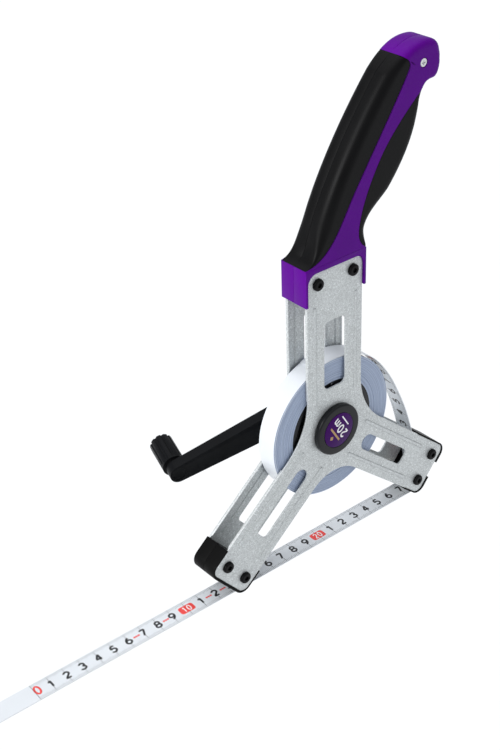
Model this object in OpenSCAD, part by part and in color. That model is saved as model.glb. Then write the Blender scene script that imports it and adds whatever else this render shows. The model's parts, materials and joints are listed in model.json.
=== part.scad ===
// Hand-held open measuring-tape reel: a Y-shaped sheet-metal frame with a pistol handle on its
// upper arm, tape guides in its two lower arms, and a drum turned by a crank at the back.
// X runs to the crank's far side, Y from the label face to the crank face, Z up the handle.
// The origin is the middle of the hand grip. Modules are drawn about the spindle's centre.

/* [Tape] */
// Width of the tape blade
tape_w = 13; // [10:0.1:13.2]
// Thickness drawn for a single layer of tape
tape_t = 0.4; // [0.3:0.05:0.5]
// Outer radius of the wound tape
coil_r = 44.3; // [36:0.1:44.5]
// Radius of the drum that the tape winds on
drum_r = 30; // [24:0.5:32]

/* [Frame] */
// Half the gap between the two frame plates
half_gap = 7.7; // [7.6:0.1:9]
// Thickness of a frame plate
plate_t = 1.2; // [1:0.1:1.6]
// Length of the upper arm, from the spindle to its end
up_len = 105.6; // [104:0.1:107]
// Half the width of the upper arm
up_half = 20.5; // [19:0.1:21]
// Length of each lower arm, from the spindle to its end
low_len = 108.3; // [107:0.1:109]
// Half the width of a lower arm
low_half = 17; // [16:0.1:17.5]
// Angle of each lower arm from straight down
low_angle = 49.9; // [48:0.1:52]
// Radius of the blend between the upper arm and a lower arm
upper_blend = 45; // [38:1:48]
// Radius of the blend between the two lower arms
lower_blend = 25; // [20:1:30]

/* [Handle] */
// Half the depth of the handle
grip_half = 10.2; // [9.6:0.1:11]
// Half the width of the handle's socket on the frame
socket_half = 22; // [21.5:0.1:23]
// Lowest level of the socket above the spindle
socket_low = 86.5; // [80:0.5:90]
// Level of the top of the socket above the spindle
socket_top = 109; // [108.5:0.1:110]

/* [Crank] */
// Length of the crank arm, from the spindle to the knob
crank_len = 82.6; // [70:0.2:90]
// How far the crank arm hangs below the level at rest
crank_down = 17.9; // [0:0.1:40]
// How far the crank arm splays away from the frame
crank_splay = 17.5; // [0:0.1:20]
// Thickness of the crank arm
crank_t = 7.3; // [6:0.1:9]
// Radius of the knob
knob_r = 7.1; // [6:0.1:8]
// Length of the knob
knob_len = 22; // [18:0.5:30]

/* [Hidden] */
$fn = 96;
fine = 48;

// The middle of the hand grip, seen from the spindle's centre, in X and Z.
grip_at = [28, 150];
plate_out = half_gap + plate_t;
up_corner = 6;
low_corner = 5;
up_screw = [12.9, 98];
low_screw = [9.2, 100.1];
screw_r = 2;
head_r = 3.5;
head_h = 2;
spacer_r = 2.6;
bore_play = 0.06;
low_turn = 180 - low_angle;
bead_w = 2;
bead_h = 0.6;
rim_depth = 0.8;
groove_w = 1.2;
groove_deep = 0.5;

// Guides at the ends of the lower arms.
guide_in = 92.5;
guide_lip = 1.6;
guide_side = 0.8;
guide_face = 9.2;
guide_wall = 0.8;
guide_room = half_gap - guide_wall;
roller_r = 4.3;
roller_at = [
  low_screw[1] * sin(low_angle) - low_screw[0] * cos(low_angle),
  -low_screw[1] * cos(low_angle) - low_screw[0] * sin(low_angle)
];
// The bend that the tape takes round the roller: its centre in X and Z, and its radius.
turn_at = [68.2, -73.2];
turn_r = 7.8;
turn_play = 0.6;

// Spindle, bushes and cap.
spindle_r = 4;
bush_r = 7;
bush_flange_r = 10;
front_flange = 0.5;
rear_flange = 0.8;
cap_r = 16;
cap_front = 12.4;
cap_back = 9.2;
label_r = 11;
anchor_r = 1;
boss_r = 9.5;
boss_start = plate_out + 1.6;
boss_end = 25;
crank_face = 17.85;
washer_r = 5.5;
washer_t = 0.8;
crank_tip_r = 5.7;
dimple_r = 4.2;
knob_gap = 1.2;
knob_pin_r = 2.5;
knob_pin_from = 1.6;

// The tape's way from the coil to the roller, in X and Z. It bulges freely.
loop_points = [
  [23.9, 38.6], [31, 33.8], [39, 25.4], [47.5, 12.8], [55, -2], [61, -16],
  [65.6, -30], [69.2, -43], [72.6, -57], [75, -68]
];
// Where the tape leaves the left guide, and the free tail beyond it.
mouth = [-79.5, 0, -80.6];
tail_len = 163;
tail_turn = -2.4;
tail_dip = -1.85;
clip_len = 8;
clip_t = 0.5;
eye_at = tail_len + 1.6;
eye_r = 1.6;
bar_r = 0.9;
nail_r = 5;
ring_r = 8;
ring_reach = 10.5;
ring_t = 1.6;

// Geometry helpers.
function bezier(a, b, c, d, steps = 12) = [
  for (i = [1:steps]) let (t = i / steps, s = 1 - t)
    s * s * s * a + 3 * s * s * t * b + 3 * s * t * t * c + t * t * t * d
];
function reversed(list) = [for (i = [len(list) - 1:-1:0]) list[i]];
function unit(v) = v / norm(v);
function side(v) = [-v[1], v[0]];
function cross_point(n1, b1, n2, b2) = let (d = n1[0] * n2[1] - n1[1] * n2[0])
  [(b1 * n2[1] - b2 * n1[1]) / d, (n1[0] * b2 - n2[0] * b1) / d];
function beside(list, away) = [
  for (i = [0:len(list) - 1])
    let (
      before = list[max(i - 1, 0)],
      after = list[min(i + 1, len(list) - 1)]
    )
    list[i] + away * side(unit(after - before))
];

// Handle outline, drawn as curves that run up the palm side and down the finger side.
neck_left = [-socket_half, socket_top];
palm_low = [-12.5, 120];
palm_high = [36.8, 201.6];
palm_end = [47.3, 208.9];
crown = [68.5, 213.6];
finger_start = [65.5, 191.4];
finger_high = [61, 181.5];
finger_low = [39.4, 136.7];
finger_neck = [21.8, 117];
neck_right = [socket_half, socket_top];
palm_curve = concat(
  [neck_left],
  bezier(neck_left, [-17, 110], [-14.5, 113.5], palm_low, 6),
  bezier(palm_low, [-5.5, 143], [13, 173.8], palm_high),
  bezier(palm_high, [40.2, 204.5], [43.8, 206.8], palm_end, 4)
);
crown_curve = concat(
  bezier(palm_end, [53, 212.6], [60, 215], crown, 8),
  bezier(crown, [73.6, 212.4], [75.6, 209.3], [75.5, 203], 8),
  bezier([75.2, 197], [74.2, 193], [71, 191.8], finger_start, 6)
);
finger_curve = concat(
  [finger_start],
  bezier(finger_start, [62.6, 190], [61.3, 185.8], finger_high, 4),
  bezier(finger_high, [61.3, 166], [50.6, 149], finger_low),
  bezier(finger_low, [31.8, 130.3], [22.4, 126.5], finger_neck, 8),
  bezier(finger_neck, [21.3, 113], [22, 111], neck_right, 4)
);
palm_seam = concat(
  [palm_end],
  bezier(palm_end, [51.6, 206.6], [52.6, 204], [51, 201], 6),
  bezier([51, 201], [43, 187], [25.5, 162.5], [14, 145.3]),
  bezier([14, 145.3], [2, 127], [-3, 111.5], neck_left, 8)
);
finger_seam = concat(
  [finger_start],
  bezier(finger_start, [55.5, 183.5], [42, 172], [33.3, 160.1]),
  bezier([33.3, 160.1], [25.5, 148.5], [18, 134], [16.4, 121.1], 8),
  bezier([16.4, 121.1], [15.8, 115.5], [18, 111], neck_right, 6)
);
end_screw_at = [62, 202.4];

// Moves a part from the spindle's frame to the grip's frame.
module placed() {
  translate([-grip_at[0], 0, -grip_at[1]]) children();
}

// Extrudes an outline drawn in X and Z between two depths.
module slab(from, to) {
  translate([0, to, 0]) rotate([90, 0, 0]) linear_extrude(to - from) children();
}

// A cylinder along Y between two depths, at a place in X and Z.
module rod(r, from, to, at = [0, 0]) {
  translate([at[0], to, at[1]]) rotate([90, 0, 0]) cylinder(r = r, h = to - from);
}

module behind() {
  mirror([0, 1, 0]) children();
}

// Places an outline that is drawn pointing up along a lower arm: way is 1 for right, -1 for left.
module low_arm(way) {
  rotate(-way * low_turn) children();
}

module arm_outline(length, half, corner) {
  translate([-half, 0]) square([2 * half, length - corner]);
  translate([corner - half, 0]) square([2 * (half - corner), length]);
  for (s = [-1, 1]) translate([s * (half - corner), length - corner]) circle(corner);
}

// The sheet between two arms at angles a1 > a2, blended by an arc.
module web(a1, half1, a2, half2, blend) {
  n1 = [sin(a1), -cos(a1)];
  n2 = [-sin(a2), cos(a2)];
  centre = cross_point(n1, half1 + blend, n2, half2 + blend);
  difference() {
    polygon([[0, 0], centre - blend * n1, centre, centre - blend * n2]);
    translate(centre) circle(blend, $fn = 160);
  }
}

module plate_outline() {
  arm_outline(up_len, up_half, up_corner);
  for (way = [-1, 1]) low_arm(way) arm_outline(low_len, low_half, low_corner);
  right_angle = 90 - low_turn;
  web(90, up_half, right_angle, low_half, upper_blend);
  mirror([1, 0]) web(90, up_half, right_angle, low_half, upper_blend);
  web(right_angle, low_half, -180 - right_angle, low_half, lower_blend);
}

// A slot with its own corner radius at each end.
module slot_outline(from, to, half, inner, outer) {
  translate([-half, from + inner]) square([2 * half, to - from - inner - outer]);
  for (s = [-1, 1]) {
    translate([s * (half - inner), from + inner]) circle(inner, $fn = fine);
    translate([s * (half - outer), to - outer]) circle(outer, $fn = fine);
  }
  if (half > inner) translate([inner - half, from]) square([2 * (half - inner), inner]);
  if (half > outer) translate([outer - half, to - outer]) square([2 * (half - outer), outer]);
}

module bead_outline(from, to, width) {
  translate([-width / 2, from]) square([width, to - from]);
  for (z = [from, to]) translate([0, z]) circle(width / 2, $fn = fine);
}

module screw_places() {
  for (s = [-1, 1]) translate([s * up_screw[0], up_screw[1]]) children();
  for (way = [-1, 1], s = [-1, 1]) low_arm(way) translate([s * low_screw[0], low_screw[1]]) children();
}

// The pressed beads, raised on the outside of a plate and sunk on its inside.
module beads(width) {
  for (s = [-1, 1]) translate([s * 15.2, 0]) bead_outline(22.3, 83.3, width);
  for (way = [-1, 1], s = [-1, 1]) low_arm(way) translate([s * 11, 0]) bead_outline(23.6, 86.2, width);
}

module plate() {
  difference() {
    slab(-plate_out, -half_gap) difference() {
      plate_outline();
      slot_outline(28.5, 72, 7.8, 3.5, 3.5);
      for (way = [-1, 1]) low_arm(way) slot_outline(30, 75, 5, 5, 2.5);
      circle(bush_r);
      screw_places() circle(screw_r + 0.1, $fn = fine);
    }
    slab(-half_gap - groove_deep, -half_gap + 1) beads(groove_w);
  }
  slab(-plate_out - bead_h, -plate_out) beads(bead_w);
  // Rolled rims along the straight edges of the arms.
  slab(-half_gap, -half_gap + rim_depth) {
    for (s = [-1, 1]) translate([s * (up_half - 0.6) - 0.6, 26]) square([1.2, 60]);
    for (way = [-1, 1], s = [-1, 1]) low_arm(way)
      translate([s * (low_half - 0.6) - 0.6, 38]) square([1.2, 53]);
  }
}

module front_frame_plate() color("silver") plate();
module rear_frame_plate() color("silver") behind() plate();

module frame_screw() {
  rod(head_r, -plate_out - head_h, -plate_out);
  rod(screw_r, -plate_out, -half_gap + 5);
}

module frame_screws() {
  for (s = [-1, 1]) translate([s * up_screw[0], 0, up_screw[1]]) frame_screw();
  for (way = [-1, 1], s = [-1, 1]) rotate([0, way * low_turn, 0])
    translate([s * low_screw[0], 0, low_screw[1]]) frame_screw();
}

module front_frame_screws() color([0.08, 0.08, 0.09]) frame_screws();
module rear_frame_screws() color([0.08, 0.08, 0.09]) behind() frame_screws();

// A threaded spacer that the screws of both plates run into.
module spacer(at) {
  difference() {
    rod(spacer_r, -half_gap, half_gap, at);
    rod(screw_r, -half_gap - 1, -half_gap + 5, at);
    rod(screw_r, half_gap - 5, half_gap + 1, at);
  }
}

module handle_spacers() color("gainsboro") {
  for (s = [-1, 1]) spacer([s * up_screw[0], up_screw[1]]);
}

module guide_spacers(way) {
  rotate([0, way * low_turn, 0]) for (s = [-1, 1]) spacer([s * low_screw[0], low_screw[1]]);
}

module left_guide_spacers() color("gainsboro") guide_spacers(-1);
module right_guide_spacers() color("gainsboro") guide_spacers(1);

// The handle's hard shell: the strip between the two grips, the crown and the socket.
module shell_half() {
  difference() {
    union() {
      slab(-grip_half, 0) polygon(concat(palm_seam, [neck_right], reversed(finger_seam), reversed(crown_curve)));
      slab(-grip_half, 0) translate([-socket_half, socket_low])
        square([2 * socket_half, socket_top - socket_low]);
    }
    slab(-grip_half - 1, -half_gap) plate_outline();
    for (s = [-1, 1]) rod(spacer_r, -half_gap, 1, [s * up_screw[0], up_screw[1]]);
  }
}

module handle_shell_front() color([0.35, 0.05, 0.5]) difference() {
  shell_half();
  rod(2.7, -grip_half - 1, -grip_half + 1.6, end_screw_at);
  rod(1.6, -grip_half, 1, end_screw_at);
}

module handle_shell_rear() color([0.35, 0.05, 0.5]) difference() {
  behind() shell_half();
  rod(2.6, -0.5, 7, end_screw_at);
}

module palm_half() slab(-grip_half + 0.2, 0) polygon(concat(palm_curve, palm_seam));
module finger_half() slab(-grip_half + 0.2, 0) polygon(concat(finger_curve, reversed(finger_seam)));
module palm_grip_front() color([0.2, 0.2, 0.21]) palm_half();
module palm_grip_rear() color([0.2, 0.2, 0.21]) behind() palm_half();
module finger_grip_front() color([0.15, 0.15, 0.16]) finger_half();
module finger_grip_rear() color([0.15, 0.15, 0.16]) behind() finger_half();

module handle_end_screw() color("silver") difference() {
  union() {
    rod(2.4, -grip_half + 0.2, -grip_half + 1.6, end_screw_at);
    rod(1.6, -grip_half + 1.6, 5, end_screw_at);
  }
  for (a = [0, 90]) translate([end_screw_at[0], -grip_half, end_screw_at[1]])
    rotate([0, a, 0]) cube([2.6, 1.6, 0.6], center = true);
}

module handle_end_insert() color("goldenrod") difference() {
  rod(2.6, 0, 7, end_screw_at);
  rod(1.6, -1, 5, end_screw_at);
}

// Guides. The outline is drawn pointing up and then turned onto its arm.
module guide_outline() {
  half = low_half + guide_side;
  corner = low_corner + guide_lip;
  reach = low_len + guide_lip;
  intersection() {
    arm_outline(reach, half, corner);
    translate([-half, guide_in]) square([2 * half, reach]);
  }
}

module guide_half(way) {
  difference() {
    slab(-guide_face, 0) low_arm(way) {
      guide_outline();
      if (way > 0) translate([-low_half - guide_side, 78]) square([guide_side, guide_in - 78]);
    }
    slab(-guide_face - 1, -half_gap) plate_outline();
    rotate([0, way * low_turn, 0]) for (s = [-1, 1])
      rod(spacer_r, -half_gap, 1, [s * low_screw[0], low_screw[1]]);
    slab(-guide_room, 1) if (way > 0) right_guide_room(); else left_guide_room();
    if (way > 0) slab(-guide_face - 1, 1) low_arm(way) translate([-5.6, low_len]) square([10.4, 4]);
  }
}

// Room for the tape to cross the left guide's low corner.
module left_guide_room() {
  translate([-100, -83]) square([44, 4.4]);
}

// Room for the roller and for the tape that turns round it.
module right_guide_room() {
  translate(turn_at) circle(turn_r + turn_play);
  translate([50, -83]) square([turn_at[0] - 50, 4.4]);
  polygon([[65, -72], turn_at + [turn_r + turn_play, 0], [76.5, -58], [72, -38], [55, -45]]);
}

module left_guide_front() color([0.12, 0.12, 0.12]) guide_half(-1);
module left_guide_rear() color([0.12, 0.12, 0.12]) behind() guide_half(-1);
module right_guide_front() color([0.12, 0.12, 0.12]) guide_half(1);
module right_guide_rear() color([0.12, 0.12, 0.12]) behind() guide_half(1);

module guide_roller() color("white") difference() {
  rod(roller_r, -6.6, 6.6, roller_at);
  rod(spacer_r + bore_play, -7, 7, roller_at);
}

// Bearing bushes, one in each plate.
module front_bush() color("ivory") difference() {
  union() {
    rod(bush_r, -plate_out, -half_gap);
    rod(bush_flange_r, -plate_out - front_flange, -plate_out);
  }
  rod(spindle_r + bore_play, -plate_out - 1, 0);
}

module rear_bush() color("ivory") difference() {
  union() {
    rod(bush_r, half_gap, boss_start - 0.4);
    rod(bush_flange_r, plate_out, plate_out + rear_flange);
  }
  rod(spindle_r + bore_play, 0, boss_start);
}

ring_from = plate_out + front_flange + 0.25;
ring_to = ring_from + 0.5;
nose_r = 2.5;

module spindle() color("lightsteelblue") difference() {
  union() {
    rod(spindle_r, -ring_from, 22);
    rod(3.2, -ring_to, -ring_from);
    rod(spindle_r, -ring_to - 0.35, -ring_to);
    rod(nose_r, -ring_to - 1.5, -ring_to - 0.35);
  }
  rod(screw_r, 12, 23);
  // Flats that drive the crank.
  for (s = [-1, 1]) translate([s * (spindle_r + 2.2), 17.5, 0]) cube([6, 9.2, 10], center = true);
}

module retaining_ring() color("darkgray") difference() {
  rod(6.5, -ring_to, -ring_from);
  rod(3.2, -ring_to - 1, 0);
  translate([-1.8, -ring_to - 1, -8]) cube([3.6, 3, 8]);
}

module drum() color([0.1, 0.1, 0.1]) difference() {
  union() {
    difference() {
      rod(drum_r, -6.4, 6.4);
      rod(drum_r - 3.2, -7, 7);
    }
    rod(drum_r - 1, -1, 1);
    rod(9, -half_gap + 0.4, half_gap - 0.4);
    for (i = [0:5]) rotate([0, i * 60, 0]) translate([-1, -4, 8]) cube([2, 8, drum_r - 10]);
  }
  rod(spindle_r, -9, 9);
  for (i = [0:5]) rod(5.5, -3, 3, [18.5 * cos(i * 60), 18.5 * sin(i * 60)]);
  rod(anchor_r, -7, 7, [0, drum_r - 1.6]);
}

module tape_anchor_pin() color("silver") rod(anchor_r, -6.2, 6.2, [0, drum_r - 1.6]);

module tape_coil() color([0.75, 0.8, 0.88]) difference() {
  rod(coil_r, -tape_w / 2, tape_w / 2, $fn = 160);
  rod(drum_r, -tape_w, tape_w);
}

module hub_cap() color([0.1, 0.1, 0.1]) difference() {
  rod(cap_r, -cap_front, -cap_back);
  rod(cap_r - 3, -ring_to - 0.45, -cap_back + 1);
  rod(nose_r, -ring_to - 1.5, 0);
  rod(label_r, -cap_front - 1, -cap_front + 0.3);
}

module cap_label() color([0.25, 0, 0.4]) rod(label_r - 0.1, -cap_front + 0.05, -cap_front + 0.3);

// The crank's own frame: X along the arm, Y the way the knob points.
module on_crank() {
  translate([0, crank_face, 0]) rotate([0, 180 - crank_down, 0]) rotate([0, 0, crank_splay]) children();
}

// Outline of two round ends joined by their outer tangents.
module taper_outline(r1, r2, span) {
  a = acos((r1 - r2) / span);
  circle(r1);
  translate([span, 0]) circle(r2);
  polygon([
    r1 * [cos(a), sin(a)], [span, 0] + r2 * [cos(a), sin(a)],
    [span, 0] + r2 * [cos(a), -sin(a)], r1 * [cos(a), -sin(a)]
  ]);
}

module crank_arm() color([0.12, 0.12, 0.13]) difference() {
  union() {
    on_crank() slab(0, crank_t) taper_outline(boss_r - 0.3, crank_tip_r, crank_len);
    rod(boss_r, boss_start, boss_end);
  }
  intersection() {
    rod(spindle_r, boss_start - 1, 22);
    translate([0, 11, 0]) cube([6.4, 40, 12], center = true);
  }
  rod(spindle_r, boss_start - 1, 12.9);
  rod(screw_r + 0.1, 20, 40);
  rod(washer_r + 0.5, boss_end, 45);
  on_crank() rod(knob_pin_r, knob_pin_from, crank_t + 1, [crank_len, 0]);
  on_crank() rod(dimple_r, -1, 0.4, [crank_len, 0]);
}

module crank_washer() color("silver") difference() {
  rod(washer_r, boss_end, boss_end + washer_t);
  rod(screw_r + 0.1, 20, 40);
}

module crank_screw() color("dimgray") difference() {
  union() {
    rod(screw_r, 13, boss_end + washer_t);
    rod(head_r, boss_end + washer_t, boss_end + washer_t + 2.6);
  }
  rod(1.5, boss_end + washer_t + 1, boss_end + 5, $fn = 6);
}

knob_from = crank_t + knob_gap;
knob_to = knob_from + knob_len;

module knob_pin() color("silver") on_crank() {
  rod(knob_pin_r, knob_pin_from, knob_to - 2.6, [crank_len, 0]);
  rod(4, knob_to - 2.6, knob_to - 1, [crank_len, 0]);
}

module knob_washer() color("ivory") on_crank() difference() {
  rod(4.4, crank_t, crank_t + knob_gap - 0.3, [crank_len, 0]);
  rod(knob_pin_r, 0, 40, [crank_len, 0]);
}

module crank_knob() color([0.12, 0.12, 0.13]) on_crank() difference() {
  union() {
    rod(knob_r, knob_from, knob_from + 1.5, [crank_len, 0]);
    rod(knob_r, knob_from + 1.5, knob_to, [crank_len, 0]);
  }
  rod(knob_pin_r + bore_play, 0, 60, [crank_len, 0]);
  rod(4.3, knob_to - 2.9, 60, [crank_len, 0]);
  for (i = [0:9]) translate([crank_len, 0, 0]) rotate([0, i * 36, 0])
    rod(1, knob_from + 1.5, knob_to + 1, [knob_r + 0.35, 0], $fn = 24);
}

// The tape between the coil and the left guide's mouth, as one bent strip.
turn_points = [for (a = [12:-6:-90]) turn_at + turn_r * [cos(a), sin(a)]];
run_points = concat(loop_points, turn_points, [[mouth[0], mouth[2]]]);

module tape_run() color("white") slab(-tape_w / 2, tape_w / 2)
  polygon(concat(beside(run_points, tape_t / 2), reversed(beside(run_points, -tape_t / 2))));

// The tail's own frame: it starts at the mouth and runs along -X.
module on_tail() {
  translate(mouth) rotate([0, tail_dip, tail_turn]) children();
}

module tape_tail() color("white") on_tail()
  translate([-tail_len, -tape_w / 2, -tape_t / 2]) cube([tail_len, tape_w, tape_t]);

module tape_end_clip() color("silver") on_tail() difference() {
  union() {
    for (z = [-tape_t / 2 - clip_t, tape_t / 2])
      translate([-tail_len, -tape_w / 2, z]) cube([clip_len, tape_w, clip_t]);
    rod(eye_r, -3.5, 3.5, [-eye_at, 0]);
    translate([-tail_len - 1, -3.5, -0.7]) cube([1, 7, 1.4]);
  }
  rod(bar_r + bore_play, -4, 4, [-eye_at, 0]);
  for (y = [-3.5, 3.5]) translate([-tail_len + clip_len / 2, y, -2]) cylinder(r = 0.8, h = 4, $fn = fine);
}

module clip_rivets() color("gainsboro") on_tail() {
  for (y = [-3.5, 3.5]) translate([-tail_len + clip_len / 2, y, 0]) {
    for (s = [-1, 1]) mirror([0, 0, s < 0 ? 1 : 0]) {
      translate([0, 0, tape_t / 2]) cylinder(r = 0.8, h = clip_t, $fn = fine);
      translate([0, 0, tape_t / 2 + clip_t]) cylinder(r = 1.3, h = 0.4, $fn = fine);
    }
  }
}

module tape_end_ring() color("silver") on_tail() difference() {
  union() {
    rod(bar_r, -5.4, 5.4, [-eye_at, 0]);
    for (s = [-1, 1]) translate([-eye_at - 5, s * 4.65 - 0.75, -ring_t / 2]) cube([5.4, 1.5, ring_t]);
    translate([-eye_at - ring_reach, 0, -ring_t / 2]) cylinder(r = ring_r, h = ring_t);
  }
  translate([-eye_at - ring_reach, 0, -ring_t]) cylinder(r = nail_r, h = 2 * ring_t);
}

placed() front_frame_plate();
placed() rear_frame_plate();
placed() front_frame_screws();
placed() rear_frame_screws();
placed() handle_spacers();
placed() left_guide_spacers();
placed() right_guide_spacers();
placed() handle_shell_front();
placed() handle_shell_rear();
placed() palm_grip_front();
placed() palm_grip_rear();
placed() finger_grip_front();
placed() finger_grip_rear();
placed() handle_end_screw();
placed() handle_end_insert();
placed() left_guide_front();
placed() left_guide_rear();
placed() right_guide_front();
placed() right_guide_rear();
placed() front_bush();
placed() rear_bush();
placed() guide_roller();
placed() spindle();
placed() retaining_ring();
placed() drum();
placed() tape_anchor_pin();
placed() tape_coil();
placed() hub_cap();
placed() cap_label();
placed() crank_arm();
placed() crank_washer();
placed() crank_screw();
placed() knob_pin();
placed() knob_washer();
placed() crank_knob();
placed() tape_run();
placed() tape_tail();
placed() tape_end_clip();
placed() clip_rivets();
placed() tape_end_ring();
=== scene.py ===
"""Visual model of a hand-held open measuring-tape reel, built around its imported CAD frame."""
import json
import math
from bisect import bisect_left
from functools import cache
from itertools import accumulate

import bmesh
import bpy
from mathutils import Matrix, Vector
from mathutils.geometry import intersect_point_line
from mathutils.kdtree import KDTree


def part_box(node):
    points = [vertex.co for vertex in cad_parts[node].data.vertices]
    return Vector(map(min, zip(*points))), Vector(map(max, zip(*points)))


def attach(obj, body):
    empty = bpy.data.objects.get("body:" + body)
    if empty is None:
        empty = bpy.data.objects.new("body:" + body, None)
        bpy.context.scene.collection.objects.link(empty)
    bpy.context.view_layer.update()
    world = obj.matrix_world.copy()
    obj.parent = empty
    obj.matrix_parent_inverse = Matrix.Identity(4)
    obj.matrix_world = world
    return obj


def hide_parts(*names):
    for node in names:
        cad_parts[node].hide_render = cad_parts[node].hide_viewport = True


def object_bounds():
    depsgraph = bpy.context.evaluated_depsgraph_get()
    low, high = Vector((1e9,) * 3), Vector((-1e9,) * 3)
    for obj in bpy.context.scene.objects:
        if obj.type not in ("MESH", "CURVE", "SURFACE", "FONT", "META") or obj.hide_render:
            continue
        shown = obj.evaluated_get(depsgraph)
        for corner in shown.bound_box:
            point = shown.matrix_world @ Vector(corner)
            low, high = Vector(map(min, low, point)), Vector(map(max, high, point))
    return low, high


bl_info = {
    "name": "Tape reel",
    "version": (1, 0, 0),
    "blender": (4, 5, 0),
    "location": "View3D > Sidebar > Tape reel",
    "description": "Builds an open measuring-tape reel piece by piece around its CAD frame",
    "category": "Add Mesh",
}

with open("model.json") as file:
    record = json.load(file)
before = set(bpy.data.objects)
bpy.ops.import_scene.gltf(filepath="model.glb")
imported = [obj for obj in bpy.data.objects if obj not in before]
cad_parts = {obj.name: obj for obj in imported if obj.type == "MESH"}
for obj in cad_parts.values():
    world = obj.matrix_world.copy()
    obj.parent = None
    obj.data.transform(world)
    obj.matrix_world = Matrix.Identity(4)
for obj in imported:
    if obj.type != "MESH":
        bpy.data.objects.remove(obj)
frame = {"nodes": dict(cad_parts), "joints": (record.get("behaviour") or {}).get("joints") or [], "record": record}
cad_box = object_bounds()

MM = 0.001
JOINTS = {joint["name"]: joint for joint in frame["joints"]}
HUB = Vector(JOINTS["drum_spin"]["pos_m"])
BODY_OF = {
    node: body
    for body, nodes in frame["record"]["behaviour"]["bodies"].items()
    for node in nodes
}


# Placing and editing

def at_hub(x, y, z):
    """A point given in millimetres from the spindle's centre."""
    return HUB + Vector((x, y, z)) * MM


def only(piece):
    """Leaves one object selected and active, in object mode."""
    if bpy.context.object and bpy.context.object.mode != "OBJECT":
        bpy.ops.object.mode_set(mode="OBJECT")
    bpy.ops.object.select_all(action="DESELECT")
    piece.select_set(True)
    bpy.context.view_layer.objects.active = piece


def start():
    """Deselects everything before a primitive is added."""
    if bpy.context.object and bpy.context.object.mode != "OBJECT":
        bpy.ops.object.mode_set(mode="OBJECT")
    bpy.ops.object.select_all(action="DESELECT")


def added(name):
    """Names the primitive that was just added and applies its place to its mesh."""
    piece = bpy.context.object
    piece.name = name
    bpy.ops.object.transform_apply(location=True, rotation=True, scale=True)
    return piece


def cylinder(name, radius, depth, centre, vertices):
    """A cylinder along Y."""
    start()
    bpy.ops.mesh.primitive_cylinder_add(vertices=vertices, radius=radius, depth=depth,
                                        rotation=(math.radians(90), 0, 0), location=centre)
    return added(name)


def grid(name, columns, rows):
    """A flat grid, which is then laid between two lines."""
    start()
    bpy.ops.mesh.primitive_grid_add(x_subdivisions=columns, y_subdivisions=rows, size=1)
    return added(name)


def edit(piece):
    """Opens one object's mesh for editing, with everything selected."""
    only(piece)
    bpy.ops.object.mode_set(mode="EDIT")
    bpy.ops.mesh.select_all(action="SELECT")


def done():
    bpy.ops.object.mode_set(mode="OBJECT")


def pick(piece, kind, test):
    """Selects the faces or edges, of a mesh in edit mode, that pass a test."""
    bpy.ops.mesh.select_mode(type=kind)
    bpy.ops.mesh.select_all(action="DESELECT")
    mesh = bmesh.from_edit_mesh(piece.data)
    for item in mesh.faces if kind == "FACE" else mesh.edges:
        if test(item):
            item.select_set(True)
    mesh.select_flush_mode()
    bmesh.update_edit_mesh(piece.data)


def apply_modifiers(piece):
    only(piece)
    for modifier in list(piece.modifiers):
        bpy.ops.object.modifier_apply(modifier=modifier.name)


def cut_away(piece, cutter):
    """Cuts one piece out of another and removes the cutter."""
    cut = piece.modifiers.new("cut", "BOOLEAN")
    cut.object = cutter
    cut.solver = "EXACT"
    apply_modifiers(piece)
    bpy.data.objects.remove(cutter)


def round_edges(piece, width, segments=3, sharper_than=38, share=None):
    """Rounds every sharp edge. share(middle of an edge) gives the part of the width that it gets."""
    only(piece)
    mesh = bmesh.new()
    mesh.from_mesh(piece.data)
    layer = mesh.edges.layers.float.new("bevel_weight_edge")
    for edge in mesh.edges:
        if len(edge.link_faces) == 2 and edge.calc_face_angle(0) > math.radians(sharper_than):
            edge[layer] = share((edge.verts[0].co + edge.verts[1].co) / 2) if share else 1
    mesh.to_mesh(piece.data)
    mesh.free()
    bevel = piece.modifiers.new("rounded edges", "BEVEL")
    bevel.width = width
    bevel.segments = segments
    bevel.limit_method = "WEIGHT"
    bevel.use_clamp_overlap = share is None
    apply_modifiers(piece)
    piece.data.attributes.remove(piece.data.attributes["bevel_weight_edge"])


def smooth(piece, angle=32):
    only(piece)
    bpy.ops.object.shade_smooth_by_angle(angle=math.radians(angle))


def join(pieces, name):
    """Joins pieces into the first of them."""
    only(pieces[0])
    for piece in pieces[1:]:
        piece.select_set(True)
    if len(pieces) > 1:
        bpy.ops.object.join()
    pieces[0].name = name
    return pieces[0]


def copy_of(node, name):
    """A merged copy of a CAD node's mesh, with its flat areas joined into single faces."""
    mesh = frame["nodes"][node].data.copy()
    mesh.materials.clear()
    piece = bpy.data.objects.new(name, mesh)
    bpy.context.scene.collection.objects.link(piece)
    only(piece)
    bpy.ops.mesh.customdata_custom_splitnormals_clear()
    edit(piece)
    bpy.ops.mesh.remove_doubles(threshold=1e-6)
    bpy.ops.mesh.dissolve_limited(angle_limit=math.radians(0.3))
    done()
    return piece


def dress(piece, node, finish):
    """Gives a piece its material and hangs it on its node's body."""
    piece.data.materials.clear()
    piece.data.materials.append(finish)
    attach(piece, BODY_OF[node])


def settle(piece, node, finish):
    """Dresses a finished piece that takes its node's place."""
    dress(piece, node, finish)
    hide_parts(node)
    return piece


def refined(node, name, finish, width, segments=3, share=None):
    """A piece with its CAD node's shape and rounded edges."""
    piece = copy_of(node, name)
    round_edges(piece, width, segments, share=share)
    smooth(piece)
    return settle(piece, node, finish)


# Curves

def bezier(a, b, c, d, steps):
    """Points along a cubic curve, without its first."""
    points = []
    for i in range(1, steps + 1):
        t = i / steps
        s = 1 - t
        points.append(s ** 3 * a + 3 * s * s * t * b + 3 * s * t * t * c + t ** 3 * d)
    return points


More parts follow.
